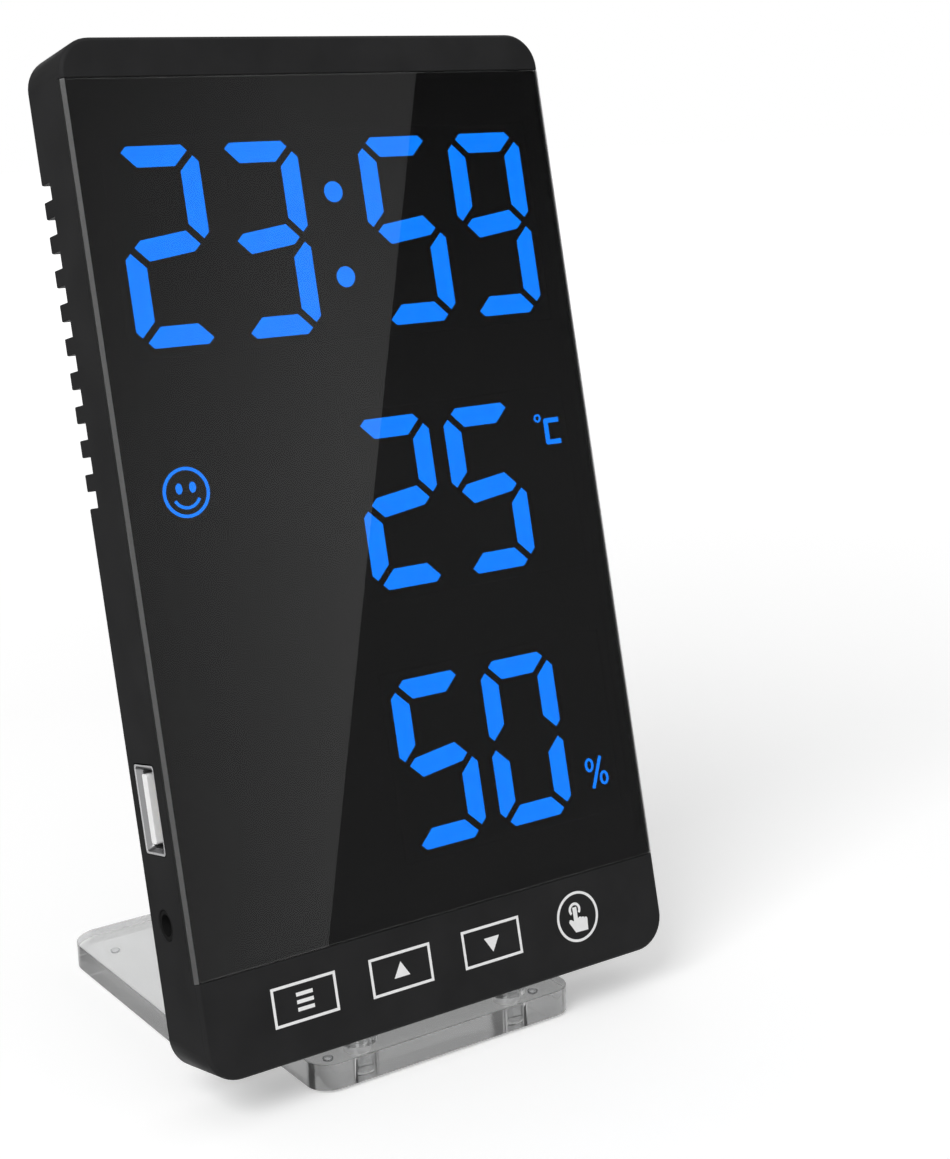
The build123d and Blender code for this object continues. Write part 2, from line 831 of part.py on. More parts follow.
# Alarm buzzer, behind the sound holes
buzzer_place = on_board(buzzer_share)
buzzer_height = buzzer_height_share * rear_room
with BuildPart() as buzzer:
    post(buzzer_radius, [buzzer_place], board_back, board_back + buzzer_height)
    post(buzzer_hole_radius, [buzzer_place], board_back + buzzer_height / 2,
         board_back + buzzer_height + cut_over, Mode.SUBTRACT)
save(buzzer, "buzzer")

# Temperature and humidity sensor, beside the cooling slots
sensor_place = on_board(sensor_share)
sensor_back = board_back + sensor_height_share * rear_room
sensor_slot_bottom = sensor_back - sensor_slot_depth_share * (sensor_back - board_back)
with BuildPart() as humidity_sensor:
    slab(*sensor_size, sensor_place, board_back, sensor_back)
    for slot in range(sensor_slots):
        rise = ((slot + 0.5) / sensor_slots - 0.5) * sensor_size[1]
        slab(sensor_size[0] / 2, sensor_slot_width, (sensor_place[0], sensor_place[1] + rise),
             sensor_slot_bottom, sensor_back + cut_over, mode=Mode.SUBTRACT)
save(humidity_sensor, "humidity_sensor")


def pan_screws(places, front, seat):
    """Pan-head screws with a cross recess, driven from the rear through a board into its standoffs."""
    bite = board_screw_bite_share * (front - panel_back)
    post(board_head_radius, places, seat, seat + board_head_height)
    post(board_screw_radius, places, front - bite, seat)
    cross = 2 * board_head_radius * cross_length_share
    for place in places:
        for width, height in ((cross, cross_width), (cross_width, cross)):
            slab(width, height, place, seat + board_head_height - cross_depth,
                 seat + board_head_height + cut_over, mode=Mode.SUBTRACT)


with BuildPart() as board_screws:
    pan_screws(board_screw_places, board_front, board_back)
save(board_screws, "board_screws")

# Touch board against the rear of the bottom band, with an electrode behind each key
touch_board_middle = touch_board_bottom + touch_board_height / 2
with BuildPart() as touch_board:
    slab(touch_board_width, touch_board_height, (0, touch_board_middle),
         panel_back + electrode_thickness, touch_back)
save(touch_board, "touch_board")

with BuildPart() as touch_electrodes:
    for key_place in key_places:
        slab(key_width - 2 * electrode_margin, touch_board_height - 2 * electrode_inset,
             (key_place[0], touch_board_middle), panel_back, panel_back + electrode_thickness)
save(touch_electrodes, "touch_electrodes")

with BuildPart() as touch_header:
    header_middle = (board_bottom + touch_board_top) / 2
    slab(header_width, header_height, (header_place_share * board_right, header_middle),
         touch_back, board_front)
save(touch_header, "touch_header")

# Legends printed on the bottom band: three boxed keys and a ring with a pointing hand
hand_points = [
    (key_places[3][0] + x * touch_radius, key_level + y * touch_radius) for x, y in hand_shares
]
tap_place = (key_places[3][0] + tap_place_shares[0] * touch_radius,
             key_level + tap_place_shares[1] * touch_radius)
knuckle_places = [
    (key_places[3][0] + x * touch_radius, key_level + y * touch_radius) for x, y in knuckle_shares
]
finger_half = finger_half_share * touch_radius
finger_foot = hand_points[0][1]
with BuildPart() as key_legends:
    with BuildSketch(face) as legend_outline:
        with Locations(*key_places[:3]):
            Rectangle(key_width, key_height)
        with Locations(*key_places[:3]):
            Rectangle(key_width - 2 * key_line, key_height - 2 * key_line, mode=Mode.SUBTRACT)
        for step in (-1, 0, 1):
            with Locations((key_places[0][0], key_level + step * (symbol_size - symbol_line) / 2)):
                Rectangle(symbol_size, symbol_line)
        for place, way in ((key_places[1], 1), (key_places[2], -1)):
            Polygon(
                (place[0] - symbol_size / 2, place[1] - way * symbol_size / 3),
                (place[0] + symbol_size / 2, place[1] - way * symbol_size / 3),
                (place[0], place[1] + way * symbol_size / 2),
                align=None,
            )
        with Locations(key_places[3]):
            Circle(touch_radius)
            Circle(touch_radius - touch_line, mode=Mode.SUBTRACT)
        Polygon(*hand_points, align=None)
        with Locations(*knuckle_places):
            Circle(knuckle_radius_share * touch_radius)
        with Locations((tap_place[0], (tap_place[1] + finger_foot) / 2)):
            Rectangle(2 * finger_half, tap_place[1] - finger_foot + 2 * finger_half)
        with Locations(tap_place):
            Circle(finger_half)
        with BuildLine():
            CenterArc(tap_place, tap_radius_share * touch_radius, tap_arc_start, tap_arc_size)
        trace(line_width=tap_line_share * touch_radius)
    extrude(legend_outline.sketch, amount=ink, dir=face.z_dir)
save(key_legends, "key_legends")

# Power board at the lower left, cut out round the sunken USB outlet
power_left = -board_right
power_centre = ((power_left + power_right) / 2, (power_board_bottom + power_top) / 2)
usb_inner_end = usb_length - half_width
usb_notch_width = usb_inner_end + board_gap - power_left + cut_over
with BuildPart() as power_board:
    slab(power_right - power_left, power_top - power_board_bottom, power_centre, power_front, power_back)
    slab(usb_notch_width, usb_width + 2 * port_gap,
         (usb_inner_end + board_gap - usb_notch_width / 2, usb_level),
         power_front - cut_over, power_back + cut_over, mode=Mode.SUBTRACT)
    post(board_screw_radius + board_hole_gap, power_screw_places, power_front - cut_over,
         power_back + cut_over, Mode.SUBTRACT)
save(power_board, "power_board")

with BuildPart() as power_parts:
    regulator_place = (power_right - power_part_pitch, power_centre[1])
    slab(*regulator_size[:2], regulator_place, power_back, power_back + regulator_size[2])
    for step in (-1, 1):
        slab(*filter_size[:2], (regulator_place[0], regulator_place[1] + step * power_part_pitch),
             power_back, power_back + filter_size[2])
save(power_parts, "power_parts")

with BuildPart() as power_board_screws:
    pan_screws(power_screw_places, power_front, power_back)
save(power_board_screws, "power_board_screws")

# Ribbon that arches from the power board to the main board
ribbon_start = power_right - ribbon_foot
ribbon_end = notch_right + ribbon_foot
ribbon_crest = board_back + ribbon_rise_share * rear_room
ribbon_level = power_board_bottom + ribbon_level_share * (power_top - power_board_bottom)
ribbon_outline = [
    (ribbon_start, power_back),
    (ribbon_start + ribbon_thickness, power_back),
    (ribbon_start + ribbon_thickness, ribbon_crest - ribbon_thickness),
    (ribbon_end - ribbon_thickness, ribbon_crest - ribbon_thickness),
    (ribbon_end - ribbon_thickness, board_back),
    (ribbon_end, board_back),
    (ribbon_end, ribbon_crest),
    (ribbon_start, ribbon_crest),
]
with BuildPart() as power_ribbon:
    with BuildSketch(level_at(ribbon_level - ribbon_width / 2)):
        Polygon(*ribbon_outline, align=None)
    extrude(amount=ribbon_width)
save(power_ribbon, "power_ribbon")


def flared_tube(shrink, mode=Mode.ADD):
    """Port shell with a flared mouth, shrunk by a wall on every side."""
    with BuildSketch(side_at(0)) as mouth:
        with Locations((usb_level, usb_depth)):
            RectangleRounded(flare_width - 2 * shrink, flare_thickness - 2 * shrink, usb_corner)
    with BuildSketch(side_at(flare_length)) as throat:
        with Locations((usb_level, usb_depth)):
            RectangleRounded(usb_width - 2 * shrink, usb_thickness - 2 * shrink, usb_corner)
    loft([mouth.sketch.face(), throat.sketch.face()], mode=mode)
    extrude(throat.sketch, amount=usb_length - flare_length, dir=(1, 0, 0), mode=mode)


# USB outlet: sheet shell with a flared mouth and two ears on the board, plastic tongue, contacts
with BuildPart() as usb_shell:
    flared_tube(0)
    flared_tube(usb_sheet, Mode.SUBTRACT)
    for side in (-1, 1):
        side_block(ear_width, usb_sheet,
                   (usb_level + side * (usb_width + ear_width) / 2, power_back + usb_sheet / 2),
                   usb_length - 2 * ear_length, usb_length - ear_length)
save(usb_shell, "usb_shell")

tongue_depth = usb_depth + tongue_offset
with BuildPart() as usb_tongue:
    side_block(usb_width - 2 * usb_sheet, usb_thickness - 2 * usb_sheet, (usb_level, usb_depth),
               usb_length - usb_base_length, usb_length, usb_corner)
    side_block(tongue_width, tongue_thickness, (usb_level, tongue_depth), tongue_inset,
               usb_length - usb_base_length, tongue_corner)
save(usb_tongue, "usb_tongue")

with BuildPart() as usb_contacts:
    for rise in (-usb_outer_contact, -usb_inner_contact, usb_inner_contact, usb_outer_contact):
        side_block(usb_contact_width, usb_contact_thickness,
                   (usb_level + rise, tongue_depth - (tongue_thickness + usb_contact_thickness) / 2),
                   tongue_inset + usb_contact_inset, usb_length - usb_base_length)
save(usb_contacts, "usb_contacts")

# DC inlet: body with a round nose in the side wall, centre pin, side spring
jack_centre = (jack_level, jack_depth)
jack_body_depth = power_back + jack_thickness / 2
jack_spring_depth = jack_depth + jack_bore_radius
with BuildPart() as dc_jack_body:
    side_post(jack_nose_radius, jack_centre, jack_recess, wall + 2 * port_gap)
    side_block(jack_width, jack_thickness, (jack_level, jack_body_depth), wall + port_gap, jack_length)
    side_post(jack_bore_radius, jack_centre, -cut_over, jack_bore_depth, Mode.SUBTRACT)
    side_block(jack_spring_width, 2 * jack_spring_thickness, (jack_level, jack_spring_depth),
               wall + port_gap, jack_bore_depth, mode=Mode.SUBTRACT)
save(dc_jack_body, "dc_jack_body")

with BuildPart() as dc_jack_pin:
    side_post(jack_pin_radius, jack_centre, jack_pin_inset, jack_bore_depth)
save(dc_jack_pin, "dc_jack_pin")

with BuildPart() as dc_jack_spring:
    side_block(jack_spring_width, jack_spring_thickness,
               (jack_level, jack_spring_depth + jack_spring_thickness / 2),
               wall + port_gap, jack_bore_depth)
save(dc_jack_spring, "dc_jack_spring")

# Rear cover: plate between the side walls, with the battery well standing on its inside
cover_inset = wall + cover_gap
contact_places = [battery_centre[0], battery_centre[0] + contact_spread]
negative_back = coin_front
positive_back = coin_back - coin_thickness / 2
contact_cut = contact_width + 2 * contact_gap
well_edge = battery_centre[1] - well_radius
with BuildPart() as rear_cover:
    slab(body_width - 2 * cover_inset, body_height - 2 * cover_inset, body_centre, cover_inner, body_depth,
         corner_radius - cover_inset)
    post(well_radius, [battery_centre], well_bottom - well_floor, cover_inner)
    post(coin_radius + coin_gap, [battery_centre], well_bottom, body_depth + cut_over, Mode.SUBTRACT)
    post(twist_radius + twist_gap, [battery_centre], body_depth - twist_thickness - lug_gap,
         body_depth + cut_over, Mode.SUBTRACT)
    post(groove_radius, [battery_centre], body_depth - twist_thickness - lug_gap, body_depth - ledge,
         Mode.SUBTRACT)
    with BuildSketch(behind(body_depth - ledge - lug_gap)) as entry_notches:
        with Locations(battery_centre):
            Rectangle(2 * groove_radius, lug_width + 2 * twist_gap, rotation=-twist_open_angle)
    extrude(entry_notches.sketch, amount=-ledge - cut_over, dir=face.z_dir, mode=Mode.SUBTRACT)
    for place, back in zip(contact_places, (negative_back, positive_back)):
        cut_middle = (battery_centre[1] + well_edge) / 2 - cut_over
        slab(contact_cut, battery_centre[1] - well_edge, (place, cut_middle),
             back - contact_thickness, back + contact_gap, mode=Mode.SUBTRACT)
    slab(contact_cut, 2 * contact_thickness + coin_gap,
         (contact_places[1], battery_centre[1] - coin_radius - contact_thickness),
         positive_back - contact_thickness, coin_back, mode=Mode.SUBTRACT)
    with Locations(rear_at(body_depth)):
        with Locations(*[(-x, y) for x, y in case_screw_places]):
            CounterSinkHole(case_screw_radius + case_hole_gap, case_head_radius + screw_recess,
                            cover_thickness + cut_over, countersink_angle)
        with Locations((-buzzer_place[0], buzzer_place[1])):
            Hole(sound_hole_radius, cover_thickness + cut_over)
            with PolarLocations(sound_ring_share * buzzer_radius, sound_hole_count):
                Hole(sound_hole_radius, cover_thickness + cut_over)
    cut_vents()
save(rear_cover, "rear_cover")

# Case screws: countersunk heads in the rear cover, shanks in the housing's bosses
head_depth = case_head_radius - case_screw_radius
with BuildPart() as case_screws:
    with Locations(rear_at(body_depth - screw_recess)):
        with Locations(*[(-x, y) for x, y in case_screw_places]):
            Cone(case_screw_radius, case_head_radius, head_depth,
                 align=(Align.CENTER, Align.CENTER, Align.MAX))
            Cylinder(case_screw_radius, case_screw_length - screw_recess,
                     align=(Align.CENTER, Align.CENTER, Align.MAX))
            for turn in (0, 90):
                Box(2 * case_head_radius * cross_length_share, cross_width, cross_depth,
                    rotation=(0, 0, turn), align=(Align.CENTER, Align.CENTER, Align.MAX),
                    mode=Mode.SUBTRACT)
save(case_screws, "case_screws")

# Memory battery and its two contacts, which run out of the well and down to the power board
with BuildPart() as coin_cell:
    post(coin_radius, [battery_centre], coin_front, coin_back)
save(coin_cell, "coin_cell")

contact_foot = power_top - contact_width
with BuildPart() as battery_contacts:
    for place, back, top in (
        (contact_places[0], negative_back, battery_centre[1]),
        (contact_places[1], positive_back, battery_centre[1] - coin_radius),
    ):
        middle = (top + contact_foot) / 2
        slab(contact_width, top - contact_foot, (place, middle), back - contact_thickness, back)
        slab(contact_width, contact_thickness, (place, contact_foot + contact_thickness / 2),
             power_back, back)
    slab(contact_width, contact_thickness,
         (contact_places[1], battery_centre[1] - coin_radius - contact_thickness / 2),
         positive_back, coin_back)
save(battery_contacts, "battery_contacts")

# Battery cover: disc with a coin slot and two lugs that turn under the ledge
with BuildPart() as battery_cover:
    post(twist_radius, [battery_centre], body_depth - twist_thickness, body_depth)
    chamfer(battery_cover.faces().sort_by(out_axis)[0].edges(), twist_break)
    slab(2 * lug_reach, lug_width, battery_centre, body_depth - twist_thickness, body_depth - ledge - lug_gap)
    slab(coin_slot_length, coin_slot_width, battery_centre, body_depth - coin_slot_depth,
         body_depth + cut_over, mode=Mode.SUBTRACT)
save(battery_cover, "battery_cover")

# Pads of the stand, cut off along the underside of the leaning clock
underside = Plane(origin=face.origin, x_dir=(1, 0, 0), z_dir=face.y_dir)
with BuildPart() as peg_pads:
    with BuildSketch(Plane.XY.offset(plate_top)):
        with Locations(*peg_places):
            Circle(pad_radius)
    extrude(amount=face_height - plate_top)
    split(bisect_by=underside, keep=Keep.BOTTOM)

# Stand plate: a tongue under the clock and a wider part behind it
shoulder = face_back + shoulder_back
shoulder_round = shoulder_round_share * (rear_plate_width - tongue_plate_width) / 2
tongue_length = shoulder_back - stand_front
rear_length = stand_rear - shoulder_back
with BuildPart() as stand_plate:
    with BuildSketch(Plane.XY.offset(foot_height)) as plate_outline:
        with Locations((0, shoulder)):
            Rectangle(tongue_plate_width, tongue_length, align=(Align.CENTER, Align.MAX))
            Rectangle(rear_plate_width, rear_length, align=(Align.CENTER, Align.MIN))
        fillet(plate_outline.vertices().group_by(Axis.Y)[1], shoulder_round)
        fillet(plate_outline.vertices().group_by(Axis.Y)[0], front_round)
        fillet(plate_outline.vertices().group_by(Axis.Y)[-1], rear_round)
    extrude(amount=plate_thickness)
    chamfer(stand_plate.faces().filter_by(Axis.Z).edges(), stand_break)
    add(peg_pads.part)
    with BuildSketch(Plane.XY.offset(face_height)):
        with Locations(*peg_places):
            Circle(peg_radius)
    extrude(amount=foot_height - cut_over - face_height, mode=Mode.SUBTRACT)
save(stand_plate, "stand_plate")

# Pegs pressed through the plate, which the clock plugs onto
with BuildPart() as stand_pegs:
    with BuildSketch(Plane.XY.offset(foot_height)):
        with Locations(*peg_places):
            Circle(peg_radius)
    extrude(amount=peg_top - foot_height)
    chamfer(stand_pegs.faces().filter_by(Axis.Z).group_by(Axis.Z)[-1].edges(), peg_break)
save(stand_pegs, "stand_pegs")

# Feet under the plate's corners
foot_places = [
    (side * (width / 2 - inset), level)
    for side in (-1, 1)
    for width, inset, level in (
        (tongue_plate_width, front_foot_inset, face_back + front_foot_back),
        (rear_plate_width, rear_foot_inset, face_back + stand_rear - rear_foot_back),
    )
]
with BuildPart() as stand_feet:
    with BuildSketch():
        with Locations(*foot_places):
            Circle(foot_radius)
    extrude(amount=foot_height)
    chamfer(stand_feet.faces().filter_by(Axis.Z).group_by(Axis.Z)[0].edges(), foot_break)
save(stand_feet, "stand_feet")
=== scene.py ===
from math import cos, pi, radians, sin

import bmesh
import bpy
from mathutils import Matrix, Vector


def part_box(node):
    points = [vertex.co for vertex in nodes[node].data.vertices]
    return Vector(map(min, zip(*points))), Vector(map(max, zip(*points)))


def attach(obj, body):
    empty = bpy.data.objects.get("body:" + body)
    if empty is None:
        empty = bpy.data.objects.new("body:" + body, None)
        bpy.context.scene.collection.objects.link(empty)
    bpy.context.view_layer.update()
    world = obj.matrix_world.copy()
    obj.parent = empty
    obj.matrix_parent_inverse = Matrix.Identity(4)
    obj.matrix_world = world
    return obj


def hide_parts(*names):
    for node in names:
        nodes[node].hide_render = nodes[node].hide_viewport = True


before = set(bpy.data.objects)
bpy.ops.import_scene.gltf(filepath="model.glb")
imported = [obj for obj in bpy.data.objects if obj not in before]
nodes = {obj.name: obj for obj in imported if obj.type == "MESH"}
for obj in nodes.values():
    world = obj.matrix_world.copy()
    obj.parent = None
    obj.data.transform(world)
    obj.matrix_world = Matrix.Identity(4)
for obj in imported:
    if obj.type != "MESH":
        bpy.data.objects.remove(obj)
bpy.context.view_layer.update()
MM = 0.001

# Sizes of the clock and its stand, in millimetres
BODY_WIDTH = 90.0
BODY_DEPTH = 14.1
LENS_BOTTOM = 16.3
LENS_TOP = 156.6
LENS_BEVEL = 0.57
STAND_DEPTH = 77.0

# The clock's face: X across from its middle, Y up from its bottom edge, Z out of it
LEAN = radians(11.9)
FACE_BACK = -38.5588
FACE_HEIGHT = 8.1075
FACE = Matrix((
    (1, 0, 0, 0),
    (0, sin(LEAN), -cos(LEAN), FACE_BACK * MM),
    (0, cos(LEAN), sin(LEAN), FACE_HEIGHT * MM),
    (0, 0, 0, 1),
))

# The rear: X across as seen from behind, Y up, Z out of it
REAR = FACE @ Matrix((
    (-1, 0, 0, 0),
    (0, 1, 0, 0),
    (0, 0, -1, -BODY_DEPTH * MM),
    (0, 0, 0, 1),
))


# Tools for finishes

NOISE_LOW = 0.3
NOISE_HIGH = 0.7


def new_finish(name):
    """Material with its node tree and its main shader."""
    material = bpy.data.materials.new(name)
    material.use_nodes = True
    tree = material.node_tree
    return material, tree, tree.nodes["Principled BSDF"]


def set_sockets(shader, values):
    """Plain values on the shader's own sockets."""
    for socket, value in values.items():
        shader.inputs[socket].default_value = value


def along(tree, space, axis):
    """One axis of a point's place on the piece, or of the way its surface faces."""
    place = tree.nodes.new("ShaderNodeTexCoord")
    axes = tree.nodes.new("ShaderNodeSeparateXYZ")
    tree.links.new(place.outputs[space], axes.inputs[0])
    return axes.outputs[axis]


def reckon(tree, operation, *terms):
    """Sum of this kind on sockets and numbers."""
    node = tree.nodes.new("ShaderNodeMath")
    node.operation = operation
    for socket, term in zip(node.inputs, terms):
        if isinstance(term, bpy.types.NodeSocket):
            tree.links.new(term, socket)
        else:
            socket.default_value = term
    return node.outputs[0]


def ranged(tree, value, low, high, start=0.0, end=1.0):
    """Value that runs from low to high while the given one runs from start to end."""
    node = tree.nodes.new("ShaderNodeMapRange")
    for socket, number in (("From Min", start), ("From Max", end), ("To Min", low), ("To Max", high)):
        node.inputs[socket].default_value = number
    tree.links.new(value, node.inputs["Value"])
    return node.outputs["Result"]


def recolour(tree, shader, kept, colour):
    """Another colour wherever the kept mask is nought."""
    mix = tree.nodes.new("ShaderNodeMix")
    mix.data_type = "RGBA"
    mix.inputs["A"].default_value = (*colour, 1)
    tree.links.new(kept, mix.inputs["Factor"])
    tree.links.new(shader.inputs["Base Color"].links[0].from_socket, mix.inputs["B"])
    tree.links.new(mix.outputs["Result"], shader.inputs["Base Color"])


def speckle(tree, size, detail=2.0, stretch=None):
    """Noise of about this grain size in millimetres, fixed to the piece."""
    place = tree.nodes.new("ShaderNodeTexCoord")
    noise = tree.nodes.new("ShaderNodeTexNoise")
    noise.inputs["Scale"].default_value = 1 / (size * MM)
    noise.inputs["Detail"].default_value = detail
    if stretch is None:
        tree.links.new(place.outputs["Object"], noise.inputs["Vector"])
    else:
        mapping = tree.nodes.new("ShaderNodeMapping")
        mapping.inputs["Scale"].default_value = stretch
        tree.links.new(place.outputs["Object"], mapping.inputs["Vector"])
        tree.links.new(mapping.outputs["Vector"], noise.inputs["Vector"])
    return noise


def spread(tree, noise, low, high):
    """Noise mapped to a range of values."""
    return ranged(tree, noise.outputs["Fac"], low, high, NOISE_LOW, NOISE_HIGH)


def tint(tree, noise, dark, light):
    """Noise mapped to a range of colours."""
    ramp = tree.nodes.new("ShaderNodeValToRGB")
    for element, position, colour in zip(ramp.color_ramp.elements, (NOISE_LOW, NOISE_HIGH), (dark, light)):
        element.position = position
        element.color = (*colour, 1)
    tree.links.new(noise.outputs["Fac"], ramp.inputs["Fac"])
    return ramp.outputs["Color"]


def roughen(tree, shader, noise, depth, strength=1.0):
    """Bump of this depth in millimetres."""
    bump = tree.nodes.new("ShaderNodeBump")
    bump.inputs["Strength"].default_value = strength
    bump.inputs["Distance"].default_value = depth * MM
    tree.links.new(noise.outputs["Fac"], bump.inputs["Height"])
    tree.links.new(bump.outputs["Normal"], shader.inputs["Normal"])


def shades(colour, change):
    """The same colour a little darker and a little lighter."""
    dark = tuple(part * (1 - change) for part in colour)
    light = tuple(min(1.0, part * (1 + change)) for part in colour)
    return dark, light


# Kinds of finish


def moulded(name, colour, rough, grain=0.25, depth=0.004, change=0.12, patch=9.0, **sockets):
    """Moulded plastic: fine grain in the surface, faint clouds in colour and gloss."""
    material, tree, shader = new_finish(name)
    clouds = speckle(tree, patch, 3.0)
    tree.links.new(tint(tree, clouds, *shades(colour, change)), shader.inputs["Base Color"])
    tree.links.new(spread(tree, clouds, rough - 0.04, rough + 0.04), shader.inputs["Roughness"])
    roughen(tree, shader, speckle(tree, grain), depth)
    set_sockets(shader, sockets)
    return material


def metal(name, colour, rough, stretch=(1, 1, 12), grain=0.3, depth=0.001, change=0.08):
    """Metal with fine drawn lines."""
    material, tree, shader = new_finish(name)
    lines = speckle(tree, grain, 3.0, stretch)
    tree.links.new(tint(tree, lines, *shades(colour, change)), shader.inputs["Base Color"])
    tree.links.new(spread(tree, lines, rough - 0.05, rough + 0.05), shader.inputs["Roughness"])
    roughen(tree, shader, lines, depth)
    set_sockets(shader, {"Metallic": 1.0})
    return material


def clear(name, colour, index, rough=0.0):
    """Clear sheet or block, polished, with faint wipe marks."""
    material, tree, shader = new_finish(name)
    marks = speckle(tree, 14.0, 4.0)
    tree.links.new(spread(tree, marks, rough, rough + 0.012), shader.inputs["Roughness"])
    tree.links.new(tint(tree, marks, *shades(colour, 0.004)), shader.inputs["Base Color"])
    set_sockets(shader, {"Transmission Weight": 1.0, "IOR": index})
    return material


def glowing(name, colour, strength):
    """Lit diffuser: even light with a faint mottle."""
    material, tree, shader = new_finish(name)
    mottle = speckle(tree, 2.2, 2.0)
    tree.links.new(tint(tree, mottle, *shades(colour, 0.05)), shader.inputs["Emission Color"])
    set_sockets(shader, {
        "Base Color": (0.0, 0.02, 0.1, 1),
        "Roughness": 0.6,
        "Specular IOR Level": 0.1,
        "Emission Strength": strength,
    })
    return material


def smoked(name, colour, solid, rough):
    """Dark sheet that lets part of the light through."""
    material, tree, shader = new_finish(name)
    clouds = speckle(tree, 20.0, 2.0)
    tree.links.new(tint(tree, clouds, *shades(colour, 0.1)), shader.inputs["Base Color"])
    tree.links.new(spread(tree, clouds, rough, rough + 0.05), shader.inputs["Roughness"])
    set_sockets(shader, {"Alpha": solid, "Specular IOR Level": 0.0})
    return material


# Changes to a finish at some places of its piece

EDGE_MARGIN = 0.005
PAINT_DEPTH = 0.004
LIP_DEPTH = 0.09


def finish_long_edges(material, paint, polished=0.004, ground=0.55, clearness=0.94):
    """Left and right bevels of the lens, ground dull instead of polished, and its sides, painted black."""
    tree = material.node_tree
    shader = tree.nodes["Principled BSDF"]
    across = reckon(tree, "ABSOLUTE", along(tree, "Object", "X"))
    rim = reckon(tree, "GREATER_THAN", across, (BODY_WIDTH / 2 - LENS_BEVEL + EDGE_MARGIN) * MM)
    bare = reckon(tree, "LESS_THAN", across, (BODY_WIDTH / 2 - PAINT_DEPTH) * MM)
    tree.links.new(ranged(tree, rim, polished, ground), shader.inputs["Roughness"])
    see_through = reckon(tree, "MULTIPLY", ranged(tree, rim, 1.0, clearness), bare)
    tree.links.new(see_through, shader.inputs["Transmission Weight"])
    recolour(tree, shader, bare, paint)


def dull_cut_edges(material, polished=0.006, cut=0.09, ground=0.5):
    """Sides of a plate, cut and wiped, less polished than its top and bottom, and its ground breaks."""
    tree = material.node_tree
    upright = reckon(tree, "ABSOLUTE", along(tree, "Normal", "Z"))
    dullness = ranged(tree, upright, cut, polished, 0.9, 0.99)
    slanted = reckon(tree, "COMPARE", upright, 0.6, 0.35)
    rough = reckon(tree, "MULTIPLY_ADD", slanted, ground, dullness)
    tree.links.new(rough, tree.nodes["Principled BSDF"].inputs["Roughness"])


def paint_lip_highlight(material, colour, lip_metallic=0.35):
    """Lip of the outlet's shell, painted lighter and less metallic as a painted highlight line where it
    meets the side of the clock.
    """
    tree = material.node_tree
    shader = tree.nodes["Principled BSDF"]
    inside = reckon(tree, "GREATER_THAN", along(tree, "Object", "X"), -(BODY_WIDTH / 2 - LIP_DEPTH) * MM)
    recolour(tree, shader, inside, colour)
    tree.links.new(ranged(tree, inside, lip_metallic, 1.0), shader.inputs["Metallic"])


def deepen(material, colour, density):
    """Faint colour that grows with the depth of clear material looked through."""
    tree = material.node_tree
    depth = tree.nodes.new("ShaderNodeVolumeAbsorption")
    depth.inputs["Color"].default_value = (*colour, 1)
    depth.inputs["Density"].default_value = density
    tree.links.new(depth.outputs[0], tree.nodes["Material Output"].inputs["Volume"])


# Finishes of the clock and its stand

ACRYLIC_INDEX = 1.49
ACRYLIC_GREY = (0.5, 0.5, 0.5)

black_plastic = moulded(
    "black_plastic", (0.0225, 0.0225, 0.023), 0.45, **{"Specular IOR Level": 0.03},
)
lens_clear = clear("lens_clear", (0.985, 0.99, 0.99), ACRYLIC_INDEX)
finish_long_edges(lens_clear, (0.006, 0.006, 0.006))
mirror_dark = smoked("mirror_dark", (0.0008, 0.0008, 0.001), 0.72, 0.25)
stand_clear = clear("stand_clear", (0.8, 0.805, 0.805), ACRYLIC_INDEX)
deepen(stand_clear, ACRYLIC_GREY, 24.0)
dull_cut_edges(stand_clear)
peg_clear = clear("peg_clear", (0.95, 0.955, 0.955), ACRYLIC_INDEX)
deepen(peg_clear, ACRYLIC_GREY, 18.0)
lit_blue = glowing("lit_blue", (0.0, 0.205, 1.0), 14.6)
white_ink = moulded("white_ink", (0.9, 0.9, 0.9), 0.5, 0.12, 0.002, 0.03, 1.5)
bright_steel = metal("bright_steel", (0.24, 0.24, 0.245), 0.34)
# Steel of the outlet's shell, darker than bare steel as painted shade for its deep inside, with a painted
# highlight on its lip
shaded_outlet_steel = metal("shaded_outlet_steel", (0.24, 0.24, 0.245), 0.34)
paint_lip_highlight(shaded_outlet_steel, (0.62, 0.62, 0.63))
gold_plate = metal("gold_plate", (0.83, 0.62, 0.28), 0.25)
port_white = moulded("port_white", (0.94, 0.94, 0.94), 0.4, 0.2, 0.003, 0.02, 2.0)
port_black = moulded("port_black", (0.012, 0.012, 0.012), 0.5, 0.2, 0.003, **{"Specular IOR Level": 0.04})
black_metal = metal("black_metal", (0.03, 0.03, 0.032), 0.35)
soft_clear = moulded(
    "soft_clear", (0.86, 0.87, 0.88), 0.2, 0.4, 0.004, 0.03, 2.0,
    **{"Transmission Weight": 0.85, "IOR": 1.41},
)
tape_black = moulded("tape_black", (0.006, 0.006, 0.006), 0.8, 0.3, 0.01)
frame_black = moulded(
    "frame_black", (0.006, 0.006, 0.0065), 0.7, 0.3, 0.006, **{"Specular IOR Level": 0.05},
)
unlit_smoke = moulded(
    "unlit_smoke", (0.006, 0.0065, 0.008), 0.6, 0.3, 0.004, **{"Specular IOR Level": 0.05},
)
lamp_resin = moulded("lamp_resin", (0.8, 0.72, 0.35), 0.4, 0.2, 0.003)
board_green = moulded("board_green", (0.012, 0.09, 0.03), 0.4, 0.5, 0.004, 0.2, 3.0)
bare_copper = metal("bare_copper", (0.72, 0.4, 0.22), 0.3)
chip_black = moulded("chip_black", (0.02, 0.02, 0.02), 0.55, 0.2, 0.004)
bright_tin = metal("bright_tin", (0.65, 0.65, 0.66), 0.3)
ceramic_tan = moulded("ceramic_tan", (0.36, 0.26, 0.17), 0.5, 0.3, 0.003)
sensor_white = moulded("sensor_white", (0.75, 0.76, 0.78), 0.45, 0.2, 0.003, 0.03)
